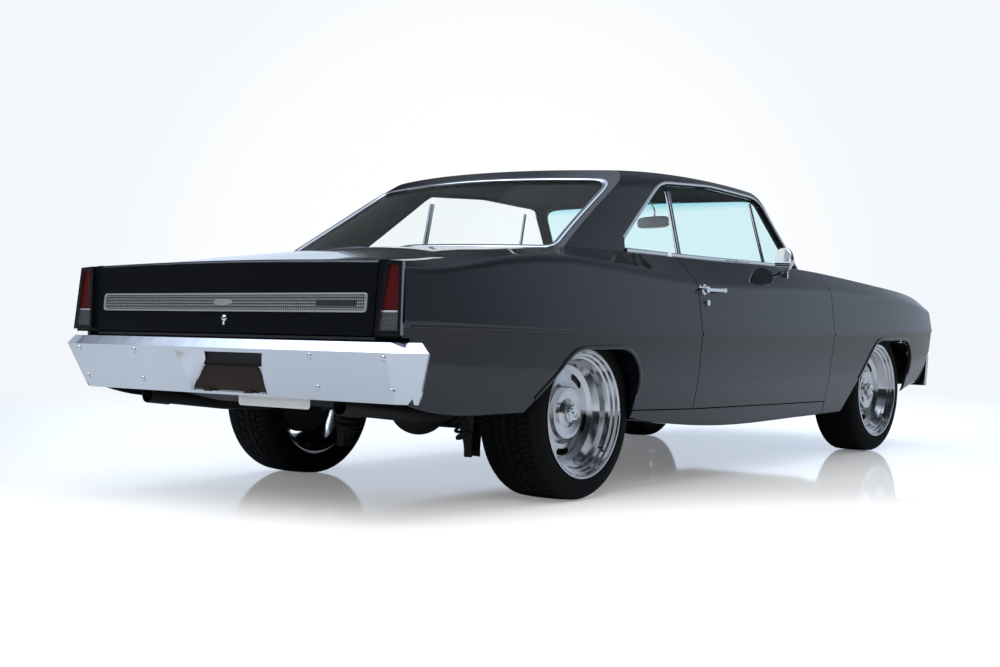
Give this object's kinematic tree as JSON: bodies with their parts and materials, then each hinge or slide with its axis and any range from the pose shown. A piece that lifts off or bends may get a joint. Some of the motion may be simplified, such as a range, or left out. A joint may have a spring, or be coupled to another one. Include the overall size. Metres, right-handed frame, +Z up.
{
  "type": "two-door hardtop muscle car",
  "caption": "Two-door hardtop muscle car with opening doors, hood and decklid, wide spinning wheels and coupled front steering.",
  "frame": {"origin": "bottom centre of the car's box, on the floor, midway along its length", "axes": "+X forward along the length, +Y to the car's left, +Z up"},
  "size_m": [4.701, 1.862, 1.3482],
  "materials": {
    "body_paint": "gloss charcoal grey",
    "chrome_trim": "bright chrome",
    "grille_metal": "satin",
    "lamp_glass": "clear fluted",
    "red_lens": "gloss",
    "tinted_glass": "tinted",
    "underbody": "satin black",
    "suspension_steel": "satin black",
    "axle_iron": "satin",
    "tank_steel": "aged",
    "seat_vinyl": "pleated vinyl",
    "cabin_plastic": "satin",
    "polished_alloy": "polished",
    "tyre_rubber": "new"
  },
  "bodies": {
    "root": {"roof": "body_paint", "quarter_panels": "body_paint", "rear_deck": "body_paint", "tail_panel": "body_paint", "rockers": "body_paint", "cowl": "body_paint", "fenders": "body_paint", "nose_panel": "body_paint", "grille": "grille_metal", "headlamps": "lamp_glass", "tail_lamp_bezels": "chrome_trim", "tail_lamps": "red_lens", "rear_bumper": "chrome_trim", "front_bumper": "chrome_trim", "windscreen": "tinted_glass", "rear_window": "tinted_glass", "quarter_windows": "tinted_glass", "floor_pan": "underbody", "front_structure": "underbody", "front_suspension": "suspension_steel", "rear_suspension": "suspension_steel", "rear_axle": "axle_iron", "engine": "axle_iron", "fuel_tank": "tank_steel", "exhaust": "tank_steel", "front_seats": "seat_vinyl", "rear_seat": "seat_vinyl", "dashboard": "cabin_plastic"},
    "hood": {"hood": "body_paint"},
    "decklid": {"decklid": "body_paint"},
    "door_left": {"door_left": "body_paint", "door_glass_left": "tinted_glass", "door_chrome_left": "chrome_trim"},
    "door_right": {"door_right": "body_paint", "door_glass_right": "tinted_glass", "door_chrome_right": "chrome_trim"},
    "knuckle_left": {"knuckle_left": "suspension_steel"},
    "knuckle_right": {"knuckle_right": "suspension_steel"},
    "steering_wheel": {"steering_wheel": "cabin_plastic"},
    "wheel_front_left": {"wheel_front_left": "polished_alloy", "tyre_front_left": "tyre_rubber"},
    "wheel_front_right": {"wheel_front_right": "polished_alloy", "tyre_front_right": "tyre_rubber"},
    "wheel_rear_left": {"wheel_rear_left": "polished_alloy", "tyre_rear_left": "tyre_rubber"},
    "wheel_rear_right": {"wheel_rear_right": "polished_alloy", "tyre_rear_right": "tyre_rubber"}
  },
  "joints": [
    {"name": "steer_left", "type": "hinge", "parent": "root", "child": "knuckle_left", "pos_m": [1.534, 0.64, 0.324], "axis": [0, 0, 1], "range_deg": [-28, 28]},
    {"name": "steer_right", "type": "hinge", "parent": "root", "child": "knuckle_right", "pos_m": [1.534, -0.64, 0.324], "axis": [0, 0, 1], "range_deg": [-28, 28]},
    {"name": "wheel_front_left_spin", "type": "hinge", "parent": "knuckle_left", "child": "wheel_front_left", "pos_m": [1.534, 0.7, 0.324], "axis": [0, 1, 0], "continuous": true},
    {"name": "wheel_rear_left_spin", "type": "hinge", "parent": "root", "child": "wheel_rear_left", "pos_m": [-1.26, 0.7, 0.327], "axis": [0, 1, 0], "continuous": true},
    {"name": "wheel_front_right_spin", "type": "hinge", "parent": "knuckle_right", "child": "wheel_front_right", "pos_m": [1.534, -0.7, 0.324], "axis": [0, 1, 0], "continuous": true},
    {"name": "wheel_rear_right_spin", "type": "hinge", "parent": "root", "child": "wheel_rear_right", "pos_m": [-1.26, -0.7, 0.327], "axis": [0, 1, 0], "continuous": true},
    {"name": "steering_wheel_turn", "type": "hinge", "parent": "root", "child": "steering_wheel", "pos_m": [0.408, 0.38, 0.838], "axis": [-0.9272, 0, 0.3746], "range_deg": [-448, 448]},
    {"name": "door_left_hinge", "type": "hinge", "parent": "root", "child": "door_left", "pos_m": [0.7845, 0.885, 0.6], "axis": [0, 0, -1], "range_deg": [0, 62]},
    {"name": "door_right_hinge", "type": "hinge", "parent": "root", "child": "door_right", "pos_m": [0.7845, -0.885, 0.6], "axis": [0, 0, 1], "range_deg": [0, 62]},
    {"name": "hood_hinge", "type": "hinge", "parent": "root", "child": "hood", "pos_m": [0.9035, 0, 0.962], "axis": [0, -1, 0], "range_deg": [0, 50]},
    {"name": "decklid_hinge", "type": "hinge", "parent": "root", "child": "decklid", "pos_m": [-1.4935, 0, 0.985], "axis": [0, 1, 0], "range_deg": [0, 60]}
  ],
  "couplings": [
    {"joint": "steer_right", "follows": "steer_left", "ratio": 1},
    {"joint": "steering_wheel_turn", "follows": "steer_left", "ratio": 16}
  ]
}
